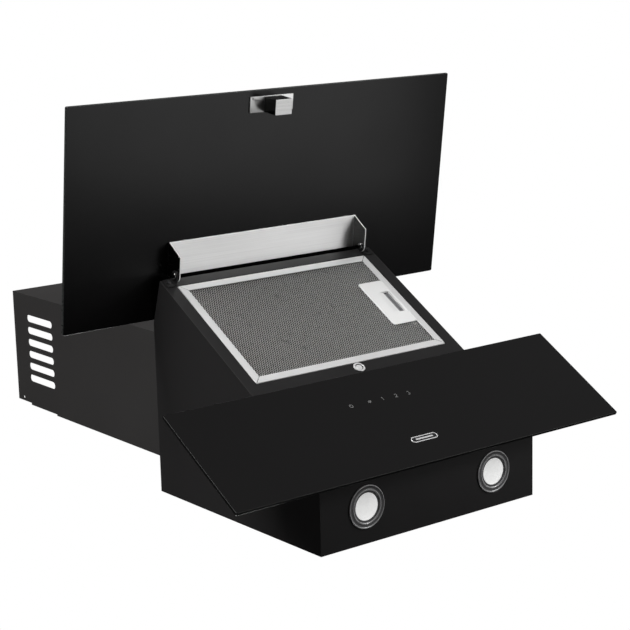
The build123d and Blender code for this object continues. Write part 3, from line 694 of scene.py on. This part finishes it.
xs = steps(PX0, PX0 + 0.9, 3) + steps(PX0 + 0.9, RX0, 8)[1:] + steps(RX0, SX0, 12)[1:] + steps(SX0, SX1, 6)[1:] + steps(SX1, PX1, 5)[1:]
us = steps(PU0, PU0 + 0.9, 3) + steps(PU0 + 0.9, RU0, 8)[1:] + [RU0 + 0.5, SU0] + steps(SU0, SU1, 30)[1:] + [RU1 - 0.6, RU1] + steps(RU1, PU1 - 0.9, 8)[1:] + steps(PU1 - 0.9, PU1, 3)[1:]
us = sorted(set(round(v, 4) for v in us))
xs = sorted(set(round(v, 4) for v in xs))
bm = bmesh.new()
top, low = {}, {}
RC = 3.0
for i, x in enumerate(xs):
    for j, u in enumerate(us):
        px, pu = x, u
        # round the two free corners in plan
        for cu, s in ((PU0 + RC, -1), (PU1 - RC, 1)):
            if x < PX0 + RC and (u - cu) * s > 0:
                ax, au = x - (PX0 + RC), u - cu
                m = max(abs(ax), abs(au))
                d = math.hypot(ax, au)
                if d > 1e-9:
                    px, pu = PX0 + RC + ax * m / d, cu + au * m / d
        o = plate_top(x, u)
        top[i, j] = bm.verts.new((px, pu, o))
        low[i, j] = bm.verts.new((px, pu, min(o - 0.75, -7.6) if x < RX0 or not (RU0 < u < RU1) else o - 0.75))
hole = {(i, j) for i in range(len(xs) - 1) for j in range(len(us) - 1)
        if SX0 - 0.01 <= xs[i] and xs[i + 1] <= SX1 + 0.01 and SU0 - 0.01 <= us[j] and us[j + 1] <= SU1 + 0.01}
cells = {(i, j) for i in range(len(xs) - 1) for j in range(len(us) - 1)} - hole
for i, j in cells:
    bm.faces.new((top[i, j], top[i + 1, j], top[i + 1, j + 1], top[i, j + 1]))
    bm.faces.new((low[i, j + 1], low[i + 1, j + 1], low[i + 1, j], low[i, j]))
    for (di, dj), (p, q) in (((-1, 0), ((i, j + 1), (i, j))), ((1, 0), ((i + 1, j), (i + 1, j + 1))), ((0, -1), ((i, j), (i + 1, j))), ((0, 1), ((i + 1, j + 1), (i, j + 1)))):
        if (i + di, j + dj) not in cells:
            bm.faces.new((top[q], top[p], low[p], low[q]))
for v in [v for v in bm.verts if not v.link_faces]:
    bm.verts.remove(v)
piece("filter_pull_plate_fine", bm, ["white_plastic"], "filter", ["filter_pull_plate"], INC, angle=40)

# Spring latch: slider, ribbed pull face and tongue
bm = bmesh.new()
slab(bm, 127.2, 136.0, 229.0, 269.0, -13.7, -9.1, 0.8, 0.3, seg=2, n=3)
slab(bm, 133.5, 135.9, 231.2, 267.8, -9.3, -7.0, 0.5, 0.25, seg=2, n=3)
slab(bm, 135.0, 154.6, 239.2, 258.8, -12.6, -10.2, 0.8, 0.3, seg=2, n=3)
for k in range(4):
    slab(bm, 128.6 + k * 1.15, 129.15 + k * 1.15, 232.0, 266.0, -9.3, -8.86, 0.2, 0.1, seg=2, n=2)
piece("filter_latch_fine", bm, ["latch_plastic"], "latch", ["filter_latch"], INC)

# ---------------------------------------------------------------------------
# Screws with a cross recess, in place of the plain ones
# ---------------------------------------------------------------------------


def screw(bm, p, axis, r, h, shank_r, shank_l):
    """Pan head standing h out of p along axis, with a cross recess, on a plain shank."""
    at = turned(p, axis)
    n, rings = 32, 9
    grid = []
    for i in range(rings + 1):
        q = r * i / rings
        row = []
        for k in range(n if i else 1):
            a = 2 * math.pi * k / n
            x, y = q * math.cos(a), q * math.sin(a)
            z = h * (1 - 0.28 * (q / r) ** 2)
            near = min(abs(x), abs(y))
            if q < 0.62 * r and near < 0.16 * r:
                z -= 0.45 * h * (1 - q / (0.62 * r)) ** 0.35
            row.append(bm.verts.new(at @ Vector((x, y, z))))
        grid.append(row)
    for i in range(rings):
        a, b = grid[i], grid[i + 1]
        for k in range(n):
            k2 = (k + 1) % n
            if i == 0:
                bm.faces.new((a[0], b[k], b[k2]))
            else:
                bm.faces.new((a[k], b[k], b[k2], a[k2]))
    prev = grid[-1]
    for q, z in ((r, h * 0.2), (r * 0.97, 0.0), (shank_r, 0.0), (shank_r, -shank_l + 0.5), (shank_r * 0.6, -shank_l)):
        ring = [bm.verts.new(at @ Vector((q * math.cos(2 * math.pi * k / n), q * math.sin(2 * math.pi * k / n), z))) for k in range(n)]
        for k in range(n):
            k2 = (k + 1) % n
            bm.faces.new((prev[k], ring[k], ring[k2], prev[k2]))
        prev = ring
    bm.faces.new(list(reversed(prev)))


HW, ZT = 169.25, 141.5
bm = bmesh.new()
for sx in (-1, 1):
    for y in (-30, -110, -190):
        screw(bm, (sx * (HW - 8), y, ZT), (0, 0, 1), 3.2, 1.6, 1.5, 7.0)
piece("body_screws_fine", bm, ["zinc"], "hood", ["body_screws"], angle=25)
bm = bmesh.new()
for sx in (-1, 1):
    screw(bm, (sx * 81, -160, ZT + 1.0), (0, 0, 1), 3.5, 1.8, 1.7, 7.0)
piece("cover_screws_fine", bm, ["zinc"], "hood", ["cover_screws"], angle=25)
bm = bmesh.new()
for k in range(4):
    a = math.radians(45 + 90 * k)
    screw(bm, (80.5 * math.cos(a), -90 + 80.5 * math.sin(a), ZT + 2.0), (0, 0, 1), 3.0, 1.6, 1.45, 2.0)
piece("collar_screws_fine", bm, ["zinc"], "hood", ["collar_screws"], angle=25)
bm = bmesh.new()
for sx in (-1, 1):
    p = INC @ Vector((sx * 0.1605, 0.353, (OB + 1.5) * 0.001))
    screw(bm, p * 1000, N, 3.0, 1.7, 1.5, 5.0)
piece("hinge_screws_fine", bm, ["black_screw"], "hood", ["hinge_screws"], angle=25)

# ---------------------------------------------------------------------------
# Floor, light, world, camera
# ---------------------------------------------------------------------------
bm = bmesh.new()
bmesh.ops.create_grid(bm, x_segments=8, y_segments=8, size=30.0)
me = bpy.data.meshes.new("floor")
bm.to_mesh(me)
bm.free()
floor = bpy.data.objects.new("floor", me)
floor.location = (0, 0, -1.95)
COLL.objects.link(floor)
m, nt, bs = tree("m_floor")
nt.links.new(tint(nt, noise(nt, coords(nt), 2, 2), (0.60, 0.60, 0.60), (0.63, 0.63, 0.63)), bs.inputs["Base Color"])
bs.inputs["Roughness"].default_value = 0.9
bs.inputs["Emission Color"].default_value = (1, 1, 1, 1)
far = nt.nodes.new("ShaderNodeVectorMath")
far.operation = "LENGTH"
nt.links.new(coords(nt), far.inputs[0])
nt.links.new(span(nt, far.outputs["Value"], 0.52, 1.0, 0.5, 9.0), bs.inputs["Emission Strength"])
me.materials.append(m)
floor.visible_glossy = False
floor.visible_diffuse = False


def softbox(name, toward, dist, size, power, aim=(0, -0.25, 0.08), color=(1, 1, 1)):
    d = Vector(toward).normalized()
    l = bpy.data.lights.new(name, "AREA")
    l.shape = "RECTANGLE"
    l.size, l.size_y = size
    l.energy = power
    l.color = color
    ob = bpy.data.objects.new(name, l)
    ob.visible_camera = False
    ob.location = Vector(aim) + d * dist
    ob.rotation_mode = "QUATERNION"
    ob.rotation_quaternion = d.to_track_quat("Z", "Y")
    COLL.objects.link(ob)
    return ob


softbox("key", (-0.25, -0.95, 0.00), 3.0, (1.6, 1.6), 13)
softbox("side", (-0.60, -0.79, -0.04), 2.6, (1.5, 1.5), 84)
softbox("fill", (0.60, -0.55, -0.58), 2.6, (0.9, 0.9), 19)
softbox("over", (0.35, 0.75, 0.55), 3.0, (1.8, 1.8), 70)
softbox("rear", (-0.10, 0.98, 0.20), 3.0, (2.4, 1.8), 60)
softbox("right", (0.92, 0.05, 0.25), 3.0, (1.8, 1.8), 38)
softbox("low", (0.50, -0.06, -0.79), 1.2, (1.0, 0.8), 2.2, aim=(0, -0.30, 0.10))

world = bpy.data.worlds.new("studio")
bpy.context.scene.world = world
world.use_nodes = True
nt = world.node_tree
nt.nodes.clear()
out = nt.nodes.new("ShaderNodeOutputWorld")
mix = nt.nodes.new("ShaderNodeMixShader")
path = nt.nodes.new("ShaderNodeLightPath")
seen = nt.nodes.new("ShaderNodeBackground")
seen.inputs["Color"].default_value = (1, 1, 1, 1)
seen.inputs["Strength"].default_value = 1.0
env = nt.nodes.new("ShaderNodeBackground")
# the studio is brighter in front of the hood than above and behind it
tc = nt.nodes.new("ShaderNodeTexCoord")
dot = nt.nodes.new("ShaderNodeVectorMath")
dot.operation = "DOT_PRODUCT"
dot.inputs[1].default_value = Vector((0.40, -0.75, -0.53)).normalized()
nt.links.new(tc.outputs["Generated"], dot.inputs[0])
glow = span(nt, dot.outputs["Value"], 0.012, 0.22, 0.10, 0.92)
nt.links.new(glow, env.inputs["Strength"])
env.inputs["Color"].default_value = (1, 0.985, 0.99, 1)
nt.links.new(path.outputs["Is Camera Ray"], mix.inputs["Fac"])
nt.links.new(env.outputs["Background"], mix.inputs[1])
nt.links.new(seen.outputs["Background"], mix.inputs[2])
nt.links.new(mix.outputs["Shader"], out.inputs["Surface"])

cam = bpy.data.cameras.new("camera")
cam.sensor_width = 36.0
cam.lens = 100.06
cam.clip_start, cam.clip_end = 0.05, 60.0
cob = bpy.data.objects.new("camera", cam)
COLL.objects.link(cob)
R, UP, F = Vector((0.78663, 0.02511, -0.61691)), Vector((0.14907, -0.97734, 0.15030)), Vector((0.59916, 0.21019, 0.77255))
cob.matrix_world = basis(R, UP, -F, Vector((-1.32992, -0.68989, -1.68677)))
bpy.context.scene.camera = cob

view = bpy.context.scene.view_settings
view.view_transform = "Standard"
view.look = "None"
